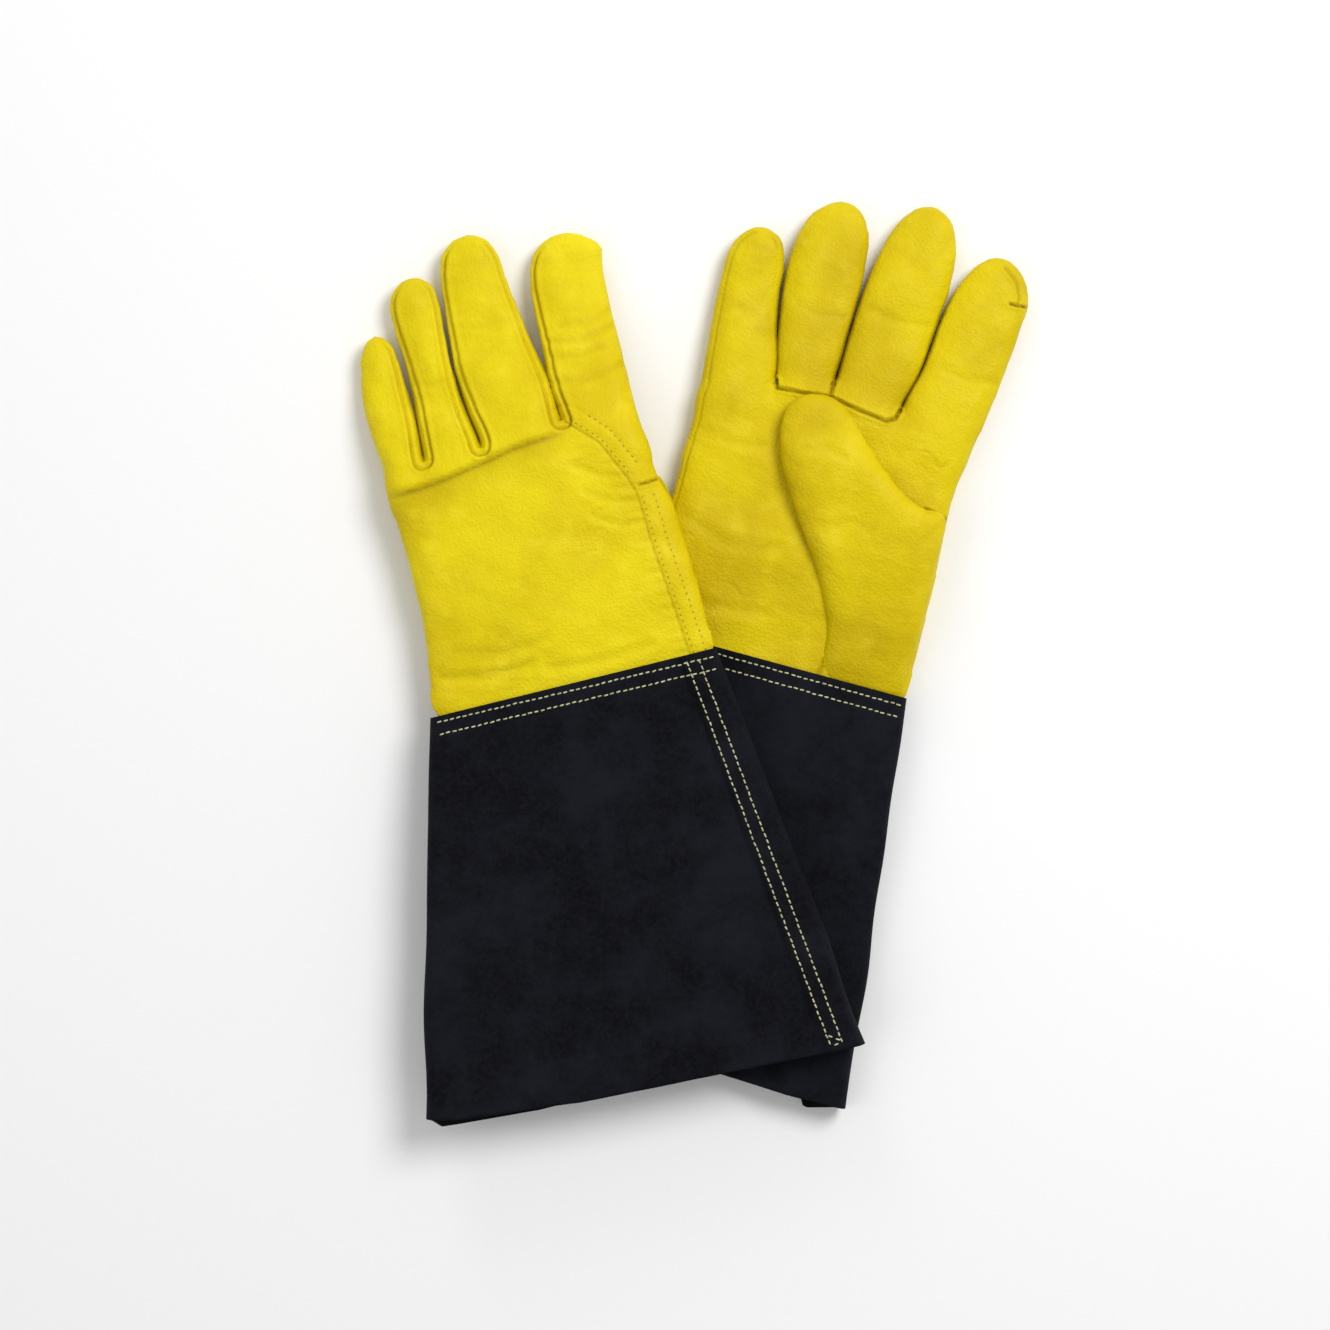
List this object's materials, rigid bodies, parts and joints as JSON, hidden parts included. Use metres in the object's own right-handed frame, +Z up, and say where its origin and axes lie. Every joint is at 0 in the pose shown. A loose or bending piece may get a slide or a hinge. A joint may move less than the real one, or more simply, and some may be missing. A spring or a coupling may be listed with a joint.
{
  "type": "welding gloves",
  "caption": "Pair of long gauntlet welding gloves, yellow grain leather hands and dark suede cuffs, laid flat and overlapping; fingers and thumbs bend at the knuckle.",
  "frame": {"origin": "on the table under the middle of the pair's footprint", "axes": "+Z up off the table, +Y from the gauntlet mouths towards the fingertips, +X across the pair from the left-hand glove to the right-hand glove"},
  "size_m": [0.307, 0.4253, 0.0331],
  "materials": {
    "yellow_grain_leather": "semi-gloss pigmented cowhide with fine pebbled grain and soft creases",
    "dark_suede_leather": "matt blue-black split leather with short nap",
    "cream_thread": "waxed sewing thread",
    "yellow_thread": "waxed sewing thread sunk in needle holes"
  },
  "bodies": {
    "left_glove": {"left_gauntlet": "dark_suede_leather", "left_hand_back": "yellow_grain_leather", "left_palm": "yellow_grain_leather", "left_index_side": "yellow_grain_leather", "left_thumb_wing": "yellow_grain_leather", "left_cuff_thread_upper": "cream_thread", "left_cuff_thread_lower": "cream_thread", "left_lap_thread_inner": "cream_thread", "left_lap_thread_outer": "cream_thread", "left_back_seam_thread_inner": "yellow_thread", "left_back_seam_thread_outer": "yellow_thread"},
    "left_little": {"left_little_front": "yellow_grain_leather", "left_little_back": "yellow_grain_leather", "left_little_thumb_side_strip": "yellow_grain_leather"},
    "left_ring": {"left_ring_front": "yellow_grain_leather", "left_ring_back": "yellow_grain_leather", "left_ring_thumb_side_strip": "yellow_grain_leather", "left_ring_little_side_strip": "yellow_grain_leather"},
    "left_middle": {"left_middle_front": "yellow_grain_leather", "left_middle_back": "yellow_grain_leather", "left_middle_thumb_side_strip": "yellow_grain_leather", "left_middle_little_side_strip": "yellow_grain_leather"},
    "left_index": {"left_index_wrap": "yellow_grain_leather", "left_index_little_side_strip": "yellow_grain_leather"},
    "left_thumb": {"left_thumb_front": "yellow_grain_leather", "left_thumb_back": "yellow_grain_leather"},
    "right_glove": {"right_gauntlet": "dark_suede_leather", "right_hand_back": "yellow_grain_leather", "right_palm": "yellow_grain_leather", "right_index_side": "yellow_grain_leather", "right_thumb_wing": "yellow_grain_leather", "right_cuff_thread_upper": "cream_thread", "right_cuff_thread_lower": "cream_thread"},
    "right_little": {"right_little_front": "yellow_grain_leather", "right_little_back": "yellow_grain_leather", "right_little_thumb_side_strip": "yellow_grain_leather"},
    "right_ring": {"right_ring_front": "yellow_grain_leather", "right_ring_back": "yellow_grain_leather", "right_ring_thumb_side_strip": "yellow_grain_leather", "right_ring_little_side_strip": "yellow_grain_leather"},
    "right_middle": {"right_middle_front": "yellow_grain_leather", "right_middle_back": "yellow_grain_leather", "right_middle_thumb_side_strip": "yellow_grain_leather", "right_middle_little_side_strip": "yellow_grain_leather"},
    "right_index": {"right_index_wrap": "yellow_grain_leather", "right_index_little_side_strip": "yellow_grain_leather"},
    "right_thumb": {"right_thumb_front": "yellow_grain_leather", "right_thumb_back": "yellow_grain_leather"}
  },
  "joints": [
    {"name": "left_glove_lift_off", "type": "slide", "parent": "right_glove", "child": "left_glove", "axis": [0, 0, 1], "range_m": [0, 0.15]},
    {"name": "left_little_bend", "type": "hinge", "parent": "left_glove", "child": "left_little", "pos_m": [-0.13312, 0.09286, 0.016], "axis": [-0.9799, -0.1994, 0], "range_deg": [0, 80], "stiffness_Nm_per_rad": 0.06},
    {"name": "left_ring_bend", "type": "hinge", "parent": "left_glove", "child": "left_ring", "pos_m": [-0.10955, 0.09562, 0.016], "axis": [-0.9799, -0.1994, 0], "range_deg": [0, 80], "stiffness_Nm_per_rad": 0.06},
    {"name": "left_middle_bend", "type": "hinge", "parent": "left_glove", "child": "left_middle", "pos_m": [-0.07781, 0.10488, 0.016], "axis": [-0.9799, -0.1994, 0], "range_deg": [0, 80], "stiffness_Nm_per_rad": 0.06},
    {"name": "left_index_bend", "type": "hinge", "parent": "left_glove", "child": "left_index", "pos_m": [-0.04235, 0.11618, 0.016], "axis": [-0.9799, -0.1994, 0], "range_deg": [0, 80], "stiffness_Nm_per_rad": 0.06},
    {"name": "left_thumb_lift", "type": "hinge", "parent": "left_glove", "child": "left_thumb", "pos_m": [-0.04449, 0.06778, 0.00613], "axis": [-0.7048, -0.7094, 0], "range_deg": [0, 70], "stiffness_Nm_per_rad": 0.06},
    {"name": "right_little_bend", "type": "hinge", "parent": "right_glove", "child": "right_little", "pos_m": [0.02137, 0.13144, 0.016], "axis": [0.9537, -0.3007, 0], "range_deg": [0, 80], "stiffness_Nm_per_rad": 0.06},
    {"name": "right_ring_bend", "type": "hinge", "parent": "right_glove", "child": "right_ring", "pos_m": [0.05152, 0.12849, 0.016], "axis": [0.9537, -0.3007, 0], "range_deg": [0, 80], "stiffness_Nm_per_rad": 0.06},
    {"name": "right_middle_bend", "type": "hinge", "parent": "right_glove", "child": "right_middle", "pos_m": [0.07986, 0.12191, 0.016], "axis": [0.9537, -0.3007, 0], "range_deg": [0, 80], "stiffness_Nm_per_rad": 0.06},
    {"name": "right_index_bend", "type": "hinge", "parent": "right_glove", "child": "right_index", "pos_m": [0.11487, 0.11323, 0.016], "axis": [0.9537, -0.3007, 0], "range_deg": [0, 80], "stiffness_Nm_per_rad": 0.06},
    {"name": "right_thumb_lift", "type": "hinge", "parent": "right_glove", "child": "right_thumb", "pos_m": [0.07943, 0.06385, 0.02587], "axis": [0.9603, 0.2788, 0], "range_deg": [0, 70], "stiffness_Nm_per_rad": 0.06}
  ]
}
